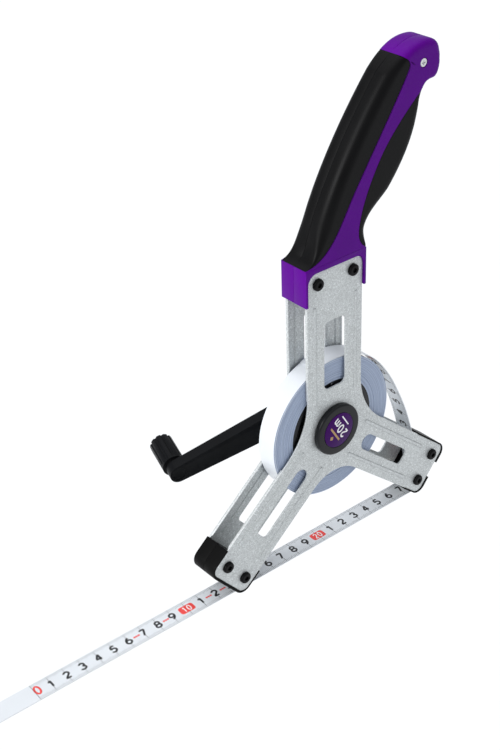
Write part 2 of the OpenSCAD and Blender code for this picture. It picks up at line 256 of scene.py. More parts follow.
def chain(first, *legs, steps=24):
    """A run of cubic legs in the X-Z plane. Each leg is two handles and an end, in millimetres."""
    points = [Vector(first)]
    for leg in legs:
        points += bezier(points[-1], *(Vector(p) for p in leg), steps)
    return points


def reaches(points):
    """The distance along a line from its first point to each of its points."""
    return list(accumulate(((b - a).length for a, b in zip(points, points[1:])), initial=0.0))


def spread_evenly(points, count):
    """The same line with count equal steps."""
    reach = reaches(points)
    even = []
    for i in range(count + 1):
        want = reach[-1] * i / count
        k = min(max(bisect_left(reach, want) - 1, 0), len(points) - 2)
        share = (want - reach[k]) / (reach[k + 1] - reach[k])
        even.append(points[k].lerp(points[k + 1], share))
    return even


def through(points, steps):
    """A smooth line through points, with the given steps between each pair."""
    line = [points[0]]
    for i in range(len(points) - 1):
        p0 = points[max(i - 1, 0)]
        p1, p2 = points[i], points[i + 1]
        p3 = points[min(i + 2, len(points) - 1)]
        line += bezier(p1, p1 + (p2 - p0) / 6, p2 - (p3 - p1) / 6, p2, steps)
    return line


# Shader node groups

OUTPUTS = {"Colour": "NodeSocketColor", "Roughness": "NodeSocketFloat", "Normal": "NodeSocketVector"}


def new_group(name, **inputs):
    """A shader node group with the given inputs. Returns it with its input sockets."""
    group = bpy.data.node_groups.new(name, "ShaderNodeTree")
    kinds = {float: "NodeSocketFloat", tuple: "NodeSocketColor"}
    for label, value in inputs.items():
        socket = group.interface.new_socket(label, in_out="INPUT", socket_type=kinds[type(value)])
        socket.default_value = (*value, 1) if isinstance(value, tuple) else value
    for label, kind in OUTPUTS.items():
        group.interface.new_socket(label, in_out="OUTPUT", socket_type=kind)
    return group, group.nodes.new("NodeGroupInput").outputs


def close_group(group, colour, roughness, height, strength, distance):
    """Feeds the group's outputs, with a bump made from a height."""
    bump = node(group, "ShaderNodeBump", {"Height": height, "Strength": strength, "Distance": distance})
    result = group.nodes.new("NodeGroupOutput")
    for label, socket in zip(OUTPUTS, (colour, roughness, bump.outputs["Normal"])):
        group.links.new(socket, result.inputs[label])
    return group


def node(tree, kind, inputs=None, **settings):
    """Adds a node. An input's value is a number, a colour or the socket that feeds it."""
    made = tree.nodes.new(kind)
    for key, value in settings.items():
        setattr(made, key, value)
    for key, value in (inputs or {}).items():
        if isinstance(value, bpy.types.NodeSocket):
            tree.links.new(value, made.inputs[key])
        else:
            made.inputs[key].default_value = value
    return made


def maths(tree, operation, *values):
    return node(tree, "ShaderNodeMath", dict(enumerate(values)), operation=operation).outputs[0]


def vector_maths(tree, operation, *values):
    return node(tree, "ShaderNodeVectorMath", dict(enumerate(values)), operation=operation).outputs


def object_place(tree):
    return node(tree, "ShaderNodeTexCoord").outputs["Object"]


def noise(tree, place, scale, detail):
    made = node(tree, "ShaderNodeTexNoise", {"Vector": place, "Scale": scale, "Detail": detail})
    return made.outputs["Fac"]


def shift(tree, value, low, high, to_low=0.0, to_high=1.0):
    """Maps a value from one range to another, clamped."""
    made = node(tree, "ShaderNodeMapRange", {
        "Value": value, "From Min": low, "From Max": high, "To Min": to_low, "To Max": to_high,
    })
    return made.outputs["Result"]


def mixed(tree, share, first, second):
    """A mix of two colours. 0, 6 and 7 are the mix node's factor and its two colour inputs."""
    return node(tree, "ShaderNodeMix", {0: share, 6: first, 7: second}, data_type="RGBA").outputs[2]


@cache
def flake_coat():
    """Silver coating with fine flakes that catch the light one by one."""
    group, given = new_group("Flake coat", Coat=(0.6, 0.6, 0.6), Fleck=(0.9, 0.9, 0.9),
                             Shade=(0.4, 0.4, 0.4), Scale=1500.0, Depth=0.1, Roughness=0.4)
    place = object_place(group)
    grain = noise(group, place, given["Scale"], 2.0)
    patches = noise(group, place, 420.0, 3.0)
    dark = mixed(group, shift(group, grain, 0.3, 0.55), given["Shade"], given["Coat"])
    light = mixed(group, shift(group, grain, 0.6, 0.72), dark, given["Fleck"])
    rough = maths(group, "ADD", given["Roughness"], shift(group, patches, 0.3, 0.7, -0.07, 0.07))
    return close_group(group, light, rough, grain, given["Depth"], 0.0003)


@cache
def moulded():
    """Moulded plastic or rubber: faint mottling and a fine grain."""
    group, given = new_group("Moulded surface", Colour=(0.1, 0.1, 0.1), Mottle=(0.12, 0.12, 0.12),
                             Grain=2500.0, Depth=0.1, Roughness=0.4, Spread=0.05)
    place = object_place(group)
    cloud = noise(group, place, 60.0, 4.0)
    grain = noise(group, place, given["Grain"], 3.0)
    tone = mixed(group, shift(group, cloud, 0.3, 0.7), given["Colour"], given["Mottle"])
    rough = maths(group, "MULTIPLY_ADD", shift(group, cloud, 0.3, 0.7, -1.0, 1.0), given["Spread"],
                  given["Roughness"])
    return close_group(group, tone, rough, grain, given["Depth"], 0.0002)


@cache
def winding():
    """Edges of wound tape: thin lines round the spindle, uneven in tone. Its default tones are darker and bluer
    than the blade, as painted shade.
    """
    group, given = new_group("Wound edges", Light=(0.5, 0.6, 0.8), Dark=(0.3, 0.4, 0.6), Pitch=2500.0)
    place = object_place(group)
    centred = vector_maths(group, "ADD", place, -HUB)[0]
    flat = vector_maths(group, "MULTIPLY", centred, (1, 0, 1))[0]
    radius = vector_maths(group, "LENGTH", flat)["Value"]
    slow = noise(group, place, 25.0, 1.0)
    wander = maths(group, "MULTIPLY_ADD", slow, 0.0006, radius)
    line = node(group, "ShaderNodeTexNoise", {"Detail": 1.0, "Scale": given["Pitch"], "W": wander},
                noise_dimensions="1D").outputs["Fac"]
    tone = mixed(group, shift(group, line, 0.34, 0.6), given["Dark"], given["Light"])
    return close_group(group, tone, shift(group, slow, 0.3, 0.7, 0.4, 0.55), line, 0.35, 0.0002)


@cache
def turned():
    """Bright metal with fine machining marks and faint handling smudges."""
    group, given = new_group("Turned metal", Metal=(0.6, 0.6, 0.6), Smudge=(0.5, 0.5, 0.5), Roughness=0.25)
    place = object_place(group)
    marks = noise(group, vector_maths(group, "MULTIPLY", place, (1, 12, 1))[0], 900.0, 2.0)
    smudge = noise(group, place, 120.0, 3.0)
    tone = mixed(group, shift(group, smudge, 0.4, 0.7), given["Metal"], given["Smudge"])
    rough = maths(group, "ADD", given["Roughness"], shift(group, smudge, 0.3, 0.7, -0.06, 0.1))
    return close_group(group, tone, rough, marks, 0.15, 0.0001)


def finish(name, group, shader=None, **values):
    """A material whose Principled shader is fed by a shared group. Plain numbers go on the shader."""
    if name in bpy.data.materials:
        return bpy.data.materials[name]
    material = bpy.data.materials.new(name)
    material.use_nodes = True
    tree = material.node_tree
    surface = tree.nodes["Principled BSDF"]
    made = tree.nodes.new("ShaderNodeGroup")
    made.node_tree = group
    for key, value in values.items():
        made.inputs[key].default_value = (*value, 1) if isinstance(value, tuple) else value
    tree.links.new(made.outputs["Colour"], surface.inputs["Base Color"])
    tree.links.new(made.outputs["Roughness"], surface.inputs["Roughness"])
    tree.links.new(made.outputs["Normal"], surface.inputs["Normal"])
    for key, value in (shader or {}).items():
        surface.inputs[key].default_value = value
    return material


def times(share, colour):
    """A colour made darker or lighter."""
    return tuple(min(1, share * c) for c in colour)


def look(group_name):
    """The colours and sizes set in one section of the panel."""
    return getattr(bpy.context.scene, group_name)


# Materials

def silver_coat():
    plates = look("reel_plates")
    coat = tuple(plates.coat)
    return finish("Silver flake coat", flake_coat(), {"Metallic": 0.35}, Coat=coat, Fleck=times(1.45, coat),
                  Shade=times(0.72, coat), Scale=plates.flake_scale, Depth=0.25, Roughness=0.42)


def plastic(name, colour, roughness, depth=0.12, lift=1.25, gloss=0.5):
    """Moulded plastic. lift is how much lighter its mottling is, and depth how deep its grain is."""
    return finish(name, moulded(), {"Specular IOR Level": gloss}, Colour=colour,
                  Mottle=times(lift, colour), Depth=depth, Roughness=roughness)


def shell_plastic():
    return plastic("Purple shell plastic", tuple(look("reel_handle").shell_colour), 0.35, 0.1, 1.12, 0.06)


def grip_rubber():
    return plastic("Grip rubber", tuple(look("reel_handle").rubber_colour), 0.4, 0.3, 1.3, 0.09)


def guide_plastic():
    return plastic("Guide plastic", (0.0035, 0.0035, 0.0035), 0.45, 0.25, 1.25, 0.06)


def crank_plastic():
    return plastic("Crank plastic", (0.0042, 0.0046, 0.0055), 0.35, 0.2, 1.25, 0.08)


def cap_plastic():
    return plastic("Cap plastic", (0.006, 0.0065, 0.008), 0.3, 0.1, 1.25, 0.22)


def bush_plastic():
    return plastic("Bush plastic", (0.72, 0.7, 0.62), 0.4)


def floor_paper():
    return plastic("Pale floor", (0.9, 0.905, 0.91), 0.8, 0.02, 1.0, 0.0)


def black_oxide():
    return finish("Black oxide steel", turned(), {"Metallic": 0.1, "Specular IOR Level": 0.1},
                  Metal=(0.004, 0.004, 0.0045), Smudge=(0.007, 0.007, 0.008), Roughness=0.3)


def bright_steel():
    return finish("Bright steel", turned(), {"Metallic": 1.0},
                  Metal=(0.62, 0.62, 0.64), Smudge=(0.5, 0.5, 0.52), Roughness=0.24)


def brass():
    return finish("Brass", turned(), {"Metallic": 1.0},
                  Metal=(0.72, 0.5, 0.2), Smudge=(0.6, 0.4, 0.16), Roughness=0.28)


def blade_coating():
    colour = tuple(look("reel_tape").blade_colour)
    return finish("Tape coating", moulded(), Colour=colour, Mottle=times(0.965, colour),
                  Grain=900.0, Depth=0.05, Roughness=0.34)


# The coil's sides take darker, bluish tones than the blade's own coating: painted shade on the white tape edges,
# with the wound lines drawn over it.
def wound_edges():
    return finish("Wound tape edges in painted shade", winding(), Light=(0.43, 0.51, 0.66), Dark=(0.25, 0.31, 0.45),
                  Pitch=2100.0)


def ink(name, colour):
    return finish(name, moulded(), Colour=colour, Mottle=tuple(1.15 * c + 0.004 for c in colour),
                  Grain=3000.0, Depth=0.04, Roughness=0.4)


def black_ink():
    return ink("Black ink", (0.012, 0.013, 0.016))


def red_ink():
    return ink("Red ink", tuple(look("reel_tape").red))


def white_ink():
    return ink("White ink", (0.85, 0.85, 0.86))


def gold_ink():
    return ink("Gold ink", (0.42, 0.25, 0.09))


def label_film():
    return finish("Label film", moulded(), {"Specular IOR Level": 0.08}, Colour=(0.042, 0.0, 0.1),
                  Mottle=(0.05, 0.0, 0.115), Grain=1500.0, Depth=0.03, Roughness=0.3)


# Tape route, in millimetres from the spindle

LOOP_POINTS = [
    (23.9, 38.6), (31, 33.8), (39, 25.4), (47.5, 12.8), (55, -2), (61, -16),
    (65.6, -30), (69.2, -43), (72.6, -57), (75, -68),
]
TURN_AT = (68.2, 0, -73.2)
MOUTH_AT = (-79.5, 0, -80.6)
ACROSS = Vector((0, 1, 0))


def tail_line(tape, steps=80):
    """The free tail from its end to the mouth of its guide, as points with their sideways directions."""
    turn = Matrix.Rotation(tape.tail_turn, 3, "Z") @ Matrix.Rotation(tape.tail_dip, 3, "Y")
    reach = turn @ Vector((-tape.tail_length, 0, 0))
    return [(at_hub(*MOUTH_AT) + reach * (1 - i / steps), turn @ ACROSS) for i in range(steps + 1)]


def coil_wrap(tape, first):
    """The last stretch before the coil, which sinks onto it, as flat points in millimetres."""
    steps, turn, clearance, sink = 14, math.radians(48), 0.25, 0.5
    first_angle = math.atan2(first.y, first.x)
    lying = tape.coil_radius + clearance
    wrap = []
    for i in range(1, steps + 1):
        share = i / steps
        radius = lying + (first.length - lying) * (1 - share) ** 2 - sink * max(0, share - 0.8) / 0.2
        angle = first_angle + turn * share
        wrap.append(Vector((radius * math.cos(angle), radius * math.sin(angle))))
    return wrap


def tape_stations(tape):
    """The tape's line from its free end to the coil, as points with their sideways directions."""
    stations = tail_line(tape)
    tail_count = len(stations)
    mouth = stations[-1][0]
    corner = [at_hub(*TURN_AT) + tape.turn_radius * Vector((math.cos(a), 0, math.sin(a)))
              for a in (math.radians(-90 + 6 * i) for i in range(18))]
    run_steps = 90
    run = [mouth.lerp(corner[0], i / run_steps) for i in range(1, run_steps)]
    hand = [Vector(p) for p in LOOP_POINTS]
    wrap = coil_wrap(tape, hand[0])
    loop = through(list(reversed(hand)) + wrap[:2], 10)[1:] + wrap[2:]
    stations += [(point, ACROSS) for point in run + corner + [at_hub(p.x, 0, p.y) for p in loop]]
    return stations, tail_count


def ribbon(name, stations, width, thickness):
    """A flat blade along stations, as a closed strip."""
    steps, lanes = len(stations) - 1, 4
    piece = grid(name, steps, lanes)
    for vertex in piece.data.vertices:
        point, sideways = stations[round((vertex.co.x + 0.5) * steps)]
        vertex.co = point + sideways * width * vertex.co.y
    wall = piece.modifiers.new("thickness", "SOLIDIFY")
    wall.thickness = thickness
    wall.offset = 0
    wall.use_even_offset = True
    apply_modifiers(piece)
    smooth(piece)
    return piece


def lay_on_tape(piece, stations, zero, lift):
    """Bends a flat print onto the tape. Its X is the distance along it and its Y goes across."""
    points = [point for point, _ in stations]
    reach = reaches(points)
    for vertex in piece.data.vertices:
        want = vertex.co.x + zero
        k = min(max(bisect_left(reach, want) - 1, 0), len(reach) - 2)
        sideways = stations[k][1]
        along = (points[k + 1] - points[k]).normalized()
        before = (points[k] - points[k - 1]).normalized() if k else along
        share = (want - reach[k]) / (reach[k + 1] - reach[k])
        tangent = (before * (1 - share) + along * (1 + share)).normalized()
        up = tangent.cross(sideways).normalized()
        centre = points[k].lerp(points[k + 1], share)
        vertex.co = centre + sideways * vertex.co.y + up * (vertex.co.z + lift)


CENTIMETRE = 0.01
ORNAMENTS_AT = (0.0655, 0.0855, 0.1155, 0.1255)
LOZENGE, LOZENGE_PITCH = 0.0012, 0.0014


def arc(x, y, wide, high, first, last):
    """Points on an ellipse's arc between two angles, in degrees."""
    steps = max(8, round(abs(last - first) / 15))
    angles = [math.radians(first + (last - first) * i / steps) for i in range(steps + 1)]
    return [(x + wide * math.cos(a), y + high * math.sin(a)) for a in angles]


# Pen strokes of each letter, in a box 1 high
DIGIT_WIDTH, M_WIDTH, LETTER_GAP = 0.6, 0.8, 0.18
STROKES = {
    "0": [arc(0.3, 0.5, 0.3, 0.5, 0, 360)],
    "1": [[(0.36, 0), (0.36, 1)], [(0.34, 0.97), (0.1, 0.77)]],
    "2": [arc(0.3, 0.71, 0.27, 0.29, 165, -35) + [(0.06, 0.04)], [(0.02, 0), (0.58, 0)]],
    "3": [arc(0.28, 0.75, 0.26, 0.25, 160, -90), arc(0.28, 0.25, 0.3, 0.25, 90, -160)],
    "4": [[(0.44, 0), (0.44, 1)], [(0.42, 0.98), (0.04, 0.32)], [(0, 0.27), (0.62, 0.27)]],
    "5": [[(0.55, 1), (0.13, 1)], [(0.13, 1), (0.08, 0.5)], arc(0.29, 0.31, 0.29, 0.31, 140, -150)],
    "6": [arc(0.31, 0.3, 0.28, 0.3, 0, 360), arc(0.56, 0.33, 0.53, 0.66, 105, 180)],
    "7": [[(0.02, 1), (0.58, 1)], [(0.56, 0.98), (0.2, 0)]],
    "8": [arc(0.3, 0.755, 0.24, 0.245, 0, 360), arc(0.3, 0.26, 0.29, 0.26, 0, 360)],
    "9": [arc(0.29, 0.7, 0.28, 0.3, 0, 360), arc(0.04, 0.67, 0.53, 0.66, -75, 0)],
    "m": [[(0, 0), (0, 0.66)], arc(0.2, 0.46, 0.2, 0.2, 180, 0) + [(0.4, 0)],
          arc(0.6, 0.46, 0.2, 0.2, 180, 0) + [(0.8, 0)]],
}


def lettering(text, height, weight, depth, stretch=1.0):
    """A short text drawn with even pen strokes, as a thin closed mesh about its middle."""
    start()
    bpy.ops.curve.primitive_nurbs_path_add()
    piece = bpy.context.object
    pen = piece.data
    pen.splines.clear()
    scale = height - weight
    pitch = (DIGIT_WIDTH + LETTER_GAP) * stretch * scale + weight
    last = M_WIDTH if text[-1] == "m" else DIGIT_WIDTH
    width = (len(text) - 1) * pitch + last * stretch * scale
    for place, letter in enumerate(text):
        for stroke in STROKES[letter]:
            line = pen.splines.new("POLY")
            line.use_cyclic_u = math.dist(stroke[0], stroke[-1]) < 1e-6
            points = stroke[:-1] if line.use_cyclic_u else stroke
            line.points.add(len(points) - 1)
            for point, (x, y) in zip(line.points, points):
                point.co = (place * pitch + x * stretch * scale - width / 2, (y - 0.5) * scale, 0, 1)
    pen.bevel_depth = weight / 2
    pen.bevel_resolution = 1
    pen.use_fill_caps = True
    bpy.ops.object.convert(target="MESH")
    piece = bpy.context.object
    for vertex in piece.data.vertices:
        vertex.co.z *= depth / weight
    return piece


def moved(piece, x=0.0, y=0.0, z=0.0, turn=0.0):
    """Turns a flat print about Z and moves it, in its mesh."""
    piece.data.transform(Matrix.Translation((x, y, z)) @ Matrix.Rotation(turn, 4, "Z"))
    return piece


def bar(name, x, y, width, height, depth, corner=0.0):
    """A thin plate with rounded corners, for ticks and printed boxes."""
    start()
    bpy.ops.mesh.primitive_cube_add(size=1, location=(x, y, 0), scale=(width, height, depth))
    piece = added(name)
    if corner:
        edit(piece)
        pick(piece, "EDGE", lambda e: abs(e.verts[0].co.z - e.verts[1].co.z) > depth / 2)
        bpy.ops.mesh.bevel(offset=corner, segments=5)
        done()
    return piece


def ticks(name, first, count, pitch, length, line, tape):
    """A row of equal ticks along both edges of the tape."""
    margin = 0.0001
    rows = []
    for edge in (-1, 1):
        y = edge * (tape.width / 2 - length / 2 - margin)
        row = bar(name, first, y, line, length, tape.print_depth)
        array = row.modifiers.new("ticks", "ARRAY")
        array.count = count
        array.use_relative_offset = False
        array.use_constant_offset = True
        array.constant_offset_displace = (pitch, 0, 0)
        apply_modifiers(row)
        rows.append(row)
    return join(rows, name)


def printed_number(mark, tape):
    """What is printed at a centimetre mark, as black, red and white flat pieces."""
    x = mark * CENTIMETRE
    digit = tape.digit_height
    if mark == 0:
        zero = lettering("0", 1.2 * digit, 0.2 * digit, tape.print_depth, 0.85)
        line = bar("zero line", 0, 0, tape.line, 0.98 * tape.width, tape.print_depth)
        return {"red": [moved(zero, 0.0018, 0.0007)], "black": [line]}
    if mark % 10 == 0:
        box = bar("box", x, 0, 1.6 * digit, 1.0 * digit, tape.print_depth, 0.24 * digit)
        number = lettering(str(mark), 0.78 * digit, 0.11 * digit, tape.print_depth, 0.8)
        return {"red": [box], "white": [moved(number, x, 0, tape.print_depth)]}
    number = lettering(str(mark % 10), digit, 0.2 * digit, tape.print_depth, 1.15)
    return {"black": [moved(number, x)]}


def marks_between(low, high, pitch, offset=0.0):
    """The numbers of the evenly spaced marks that lie between two distances."""
    return range(math.ceil((low - offset) / pitch), math.ceil((high - offset) / pitch))


def blade_print(tape, low, high):
    """All that is printed between two distances from the zero mark, flat and sorted by its ink."""
    marks = {"black": [], "red": [], "white": []}
    for mark in marks_between(low, high, CENTIMETRE):
        for colour, parts in printed_number(mark, tape).items():
            marks[colour] += parts
    for x in (x + LOZENGE_PITCH * i for x in ORNAMENTS_AT for i in (-1, 0, 1)):
        if low <= x < high:
            lozenge = bar("lozenge", 0, 0, LOZENGE, LOZENGE, tape.print_depth)
            marks["red"].append(moved(lozenge, x, turn=math.radians(45)))
    for name, pitch, offset, length, line in (
            ("millimetres", CENTIMETRE / 10, 0, 0.0021, tape.line / 2),
            ("halves", CENTIMETRE, CENTIMETRE / 2, 0.0027, tape.line / 2),
            ("centimetres", CENTIMETRE, 0, 0.0038, tape.line)):
        row = marks_between(low, high, pitch, offset)
        marks["black"].append(ticks(name, offset + row.start * pitch, len(row), pitch, length, line, tape))
    return marks


# Settings

def length_prop(name, description, default):
    return bpy.props.FloatProperty(name=name, description=description, default=default,
                                   unit="LENGTH", precision=5)


def colour_prop(name, description, default):
    return bpy.props.FloatVectorProperty(name=name, description=description, default=default,
                                         subtype="COLOR", size=3, min=0, max=1)


def angle_prop(name, description, degrees):
    return bpy.props.FloatProperty(name=name, description=description,
                                   default=math.radians(degrees), subtype="ANGLE")


class TapeSettings(bpy.types.PropertyGroup):
    """Sizes and colours of the tape and its print"""
    width: length_prop("Blade width", "Width of the tape blade", 0.013)
    thickness: length_prop("Blade thickness", "Thickness of one layer", 0.0004)
    tail_length: length_prop("Tail length", "Free tape beyond the guide", 0.163)
    tail_turn: angle_prop("Tail turn", "How far the tail turns sideways", -2.4)
    tail_dip: angle_prop("Tail dip", "How far the tail leans down", -1.85)
    zero_out: length_prop("Zero mark", "Distance of the zero mark beyond the guide", 0.1263)
    turn_radius: length_prop("Turn radius", "Radius of the tape's line round the roller", 0.0078)
    coil_radius: bpy.props.FloatProperty(name="Coil radius", default=44.3,
                                         description="Outer radius of the coil, in millimetres")
    line: length_prop("Line width", "Width of a printed line", 0.00025)
    print_depth: length_prop("Print depth", "Thickness of the printed ink", 0.00002)
    digit_height: length_prop("Digit height", "Height of the centimetre numbers", 0.006)
    blade_colour: colour_prop("Blade", "Colour of the blade's coating", (0.74, 0.775, 0.815))
    red: colour_prop("Red ink", "Colour of the red print", (0.75, 0.05, 0.045))


class PlateSettings(bpy.types.PropertyGroup):
    """Sizes and colours of the frame plates"""
    edge: length_prop("Edge rounding", "Radius of the plates' edges", 0.00045)
    bead_edge: length_prop("Bead rounding", "Radius of the pressed beads", 0.00045)
    groove_floor: length_prop("Groove floor", "Depth of the inner grooves' floor below the beads", 0.0013)
    bead_depth: length_prop("Bead depth", "How far the beads' edges lie below the outer face", 0.0007)
    coat: colour_prop("Coating", "Colour of the silver coating", (0.6, 0.63, 0.635))
    flake_scale: bpy.props.FloatProperty(name="Flake scale", default=1500.0,
                                         description="How fine the flakes are")


class HandleSettings(bpy.types.PropertyGroup):
    """Sizes and colours of the handle"""
    half_depth: length_prop("Half depth", "Half the depth of the hard shell", 0.0102)
    grip_step: length_prop("Grip step", "How far the soft grips lie below the shell", 0.0002)
    palm_round: length_prop("Palm rounding", "Corner radius along the palm", 0.0062)
    crown_round: length_prop("Crown rounding", "Corner radius over the crown", 0.0042)
    finger_round: length_prop("Finger rounding", "Corner radius along the finger side", 0.005)
    neck_round: length_prop("Neck rounding", "Corner radius at the socket", 0.0006)
    seam_round: length_prop("Seam rounding", "Edge radius along the seams", 0.00025)
    shell_colour: colour_prop("Shell", "Colour of the hard shell", (0.092, 0.001, 0.228))
    rubber_colour: colour_prop("Rubber", "Colour of the soft grips", (0.0032, 0.0032, 0.0035))


class HubSettings(bpy.types.PropertyGroup):
    """Sizes of the cap, its label and the drum"""
    cap_radius: length_prop("Cap radius", "Radius of the hub cap", 0.016)
    cap_round: length_prop("Cap rounding", "Radius of the cap's outer edge", 0.0011)
    label_radius: length_prop("Label radius", "Radius of the label", 0.0109)
    label_turn: angle_prop("Label turn", "Direction in which the label reads", 121.5)


class StageSettings(bpy.types.PropertyGroup):
    """Camera, light and floor"""
    heading: angle_prop("Heading", "Direction that the camera looks in, from +Y to +X", 38.88)
    elevation: angle_prop("Elevation", "How far the camera looks down", 31.76)
    roll: angle_prop("Roll", "How far the camera leans", -2.05)
    distance: length_prop("Distance", "From the camera to the point it aims at", 0.7507)
    aim: bpy.props.FloatVectorProperty(name="Aim", description="The point that the camera aims at",
                                       default=(-0.0822, 0.0, -0.0955), subtype="TRANSLATION",
                                       unit="LENGTH")
    lens: bpy.props.FloatProperty(name="Lens", description="Focal length in millimetres", default=66.84)
    floor_drop: length_prop("Floor drop", "How far below the reel the floor lies", 1.0)
    key: bpy.props.FloatProperty(name="Key light", description="Strength of the left light", default=2.3)
    top: bpy.props.FloatProperty(name="Top light", description="Strength of the overhead light", default=1.0)
    fill: bpy.props.FloatProperty(name="Fill", description="Strength of the surrounding light", default=0.5)


# Operators

def soft_light(name, source, spread, strength):
    """A broad, even light that comes from one direction."""
    start()
    bpy.ops.object.light_add(type="SUN", location=source)
    light = bpy.context.object
    light.name = name
    light.data.angle = spread
    light.data.energy = strength
    light.rotation_euler = Vector(source).to_track_quat("Z", "Y").to_euler()


class REEL_OT_stage(bpy.types.Operator):
    """Sets up the camera, the floor and the light"""
    bl_idname = "reel.stage"
    bl_label = "Stage"

    def execute(self, context):
        stage = look("reel_stage")
        aim = Vector(stage.aim)
        turn = (Matrix.Rotation(-stage.heading, 3, "Z")
                @ Matrix.Rotation(math.radians(90) - stage.elevation, 3, "X")
                @ Matrix.Rotation(stage.roll, 3, "Z"))
        start()
        bpy.ops.object.camera_add(location=aim + turn @ Vector((0, 0, stage.distance)),
                                  rotation=turn.to_euler())
        camera = context.object
        camera.data.lens = stage.lens
        camera.data.clip_start = 0.01
        context.scene.camera = camera

        start()
        bpy.ops.mesh.primitive_plane_add(size=30, location=(0, 0, cad_box[0].z - stage.floor_drop))
        floor = added("floor")
        floor.data.materials.append(floor_paper())

        soft_light("left light", (-1, 0.1, 0.55), math.radians(35), stage.key)
        soft_light("top light", (0.1, 0.2, 1), math.radians(70), stage.top)
        world = bpy.data.worlds.new("Studio")
        world.use_nodes = True
        background = world.node_tree.nodes["Background"]
        background.inputs["Color"].default_value = (0.95, 0.97, 1, 1)
        background.inputs["Strength"].default_value = stage.fill
        context.scene.world = world
        context.scene.view_settings.view_transform = "Standard"
        return {"FINISHED"}


class REEL_OT_tape(bpy.types.Operator):
    """Makes the free tape, its end fittings and the print"""
    bl_idname = "reel.tape"
    bl_label = "Tape"

    def execute(self, context):
        tape = look("reel_tape")
        stations, tail_count = tape_stations(tape)
        coating = blade_coating()
        tail = ribbon("tape_tail_blade", stations[:tail_count], tape.width, tape.thickness)
        settle(tail, "tape_tail", coating)
        run = ribbon("tape_run_blade", stations[tail_count - 1:], tape.width, tape.thickness)
        settle(run, "tape_run", coating)

        steel = bright_steel()
        clip = refined("tape_end_clip", "end_clip", steel, 0.00012, 2)
        rivets = refined("clip_rivets", "end_clip_rivets", steel, 0.0002, 3)
        ring = refined("tape_end_ring", "end_hook_ring", steel, 0.00035, 3)

        zero = tape.tail_length - tape.zero_out
        reach = reaches([point for point, _ in stations])[-1] - zero
        last_mark = int(reach / CENTIMETRE) - 3
        lift = (tape.thickness + tape.print_depth) / 2
        marks = {"tail": blade_print(tape, 0, tape.zero_out),
                 "run": blade_print(tape, tape.zero_out, (last_mark + 0.05) * CENTIMETRE)}
        printed = {"tail": [], "run": []}
        for colour, ink_finish in (("black", black_ink()), ("red", red_ink()), ("white", white_ink())):
            for part in ("tail", "run"):
                piece = join(marks[part][colour], f"tape_{part}_{colour}_print")
                lay_on_tape(piece, stations, zero, lift)
                dress(piece, "tape_" + part, ink_finish)
                printed[part].append(piece)
        mouth = stations[tail_count - 1][0]
        path = [point for point, _ in reversed(stations[:tail_count])]
        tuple(mouth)
        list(printed["tail"])
        return {"FINISHED"}


class REEL_OT_coil(bpy.types.Operator):
    """Makes the wound tape on its drum"""
    bl_idname = "reel.coil"
    bl_label = "Wound tape"

    def execute(self, context):
        tape = look("reel_tape")
        inner = (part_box("drum")[1].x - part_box("drum")[0].x) / 2
        outer = tape.coil_radius * MM
        layers, skin = 34, 0.0012
        start()
        bpy.ops.mesh.primitive_circle_add(vertices=4 * layers, radius=1, fill_type="NOTHING")
        piece = added("wound_tape")
        profile = coil_profile(inner, outer, tape.width / 2, layers)
        for vertex, (radius, depth) in zip(piece.data.vertices, profile):
            vertex.co = HUB + Vector((radius, depth, 0))
        edit(piece)
        bpy.ops.mesh.spin(steps=160, angle=math.radians(360), center=HUB, axis=(0, 1, 0))
        bpy.ops.mesh.select_all(action="SELECT")
        bpy.ops.mesh.remove_doubles(threshold=2e-6)
        bpy.ops.mesh.normals_make_consistent(inside=False)
        done()
        loosen(piece, inner, outer)
        smooth(piece, 25)
        settle(piece, "tape_coil", blade_coating())
        piece.data.materials.append(wound_edges())
        # The outer wrap keeps the blade's coating. The sides and the inside take the darker wound-edge material,
        # which is painted shade on the same white tape.
        for face in piece.data.polygons:
            outside = (face.center - HUB).xz.length > outer - skin
            face.material_index = 0 if outside and abs(face.normal.y) < 0.7 else 1
        refined("drum", "tape_drum", cap_plastic(), 0.0003)
        refined("tape_anchor_pin", "anchor_pin", bright_steel(), 0.0001, 2)
        return {"FINISHED"}


def coil_profile(inner, outer, half, layers):
    """The coil's section: each layer ends at a slightly different depth on both sides."""
    inset, unevenness = 0.00012, 0.00006
    pitch = (outer - inner) / layers
    sides = []
    for side in (1, -1):
        line = []
        for i in range(layers):
            wave = math.sin(2.3 * i + side) + 0.7 * math.sin(5.1 * i) + 0.5 * math.sin(0.63 * i + 2)
            depth = side * (half - inset + unevenness * wave)
            line += [(inner + pitch * i + 0.15 * pitch, depth), (inner + pitch * (i + 1), depth)]
        sides.append(line)
    return sides[0] + list(reversed(sides[1]))


def loosen(piece, inner, outer):
    """Lets the outer layers wander a little from a true circle."""
    slack = 0.00018
    for vertex in piece.data.vertices:
        out = vertex.co - HUB
        flat = Vector((out.x, 0, out.z))
        share = max(0, (flat.length - inner) / (outer - inner))
        angle = math.atan2(flat.z, flat.x)
        sag = slack * share * share * (math.sin(2 * angle + 1.1) + 0.5 * math.sin(5 * angle) - 1)
        vertex.co += flat.normalized() * sag


class REEL_OT_plates(bpy.types.Operator):
    """Makes the two pressed frame plates"""
    bl_idname = "reel.plates"
    bl_label = "Frame plates"

    def execute(self, context):
        plates = look("reel_plates")
        for side in ("front", "rear"):
            node_name = side + "_frame_plate"
            low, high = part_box(node_name)
            face = low.y if side == "front" else high.y

            def share(point, face=face):
                depth = abs(point.y - face)
                if abs(depth - plates.groove_floor) < 0.0001:
                    return 0
                return plates.bead_edge / plates.edge if depth < plates.bead_depth else 1

            refined(node_name, side + "_plate", silver_coat(), plates.edge, 4, share)
        return {"FINISHED"}


SCREW_HEAD, SCREW_HEIGHT, SCREW_SHANK, SCREW_LENGTH = 0.0035, 0.002, 0.002, 0.0062


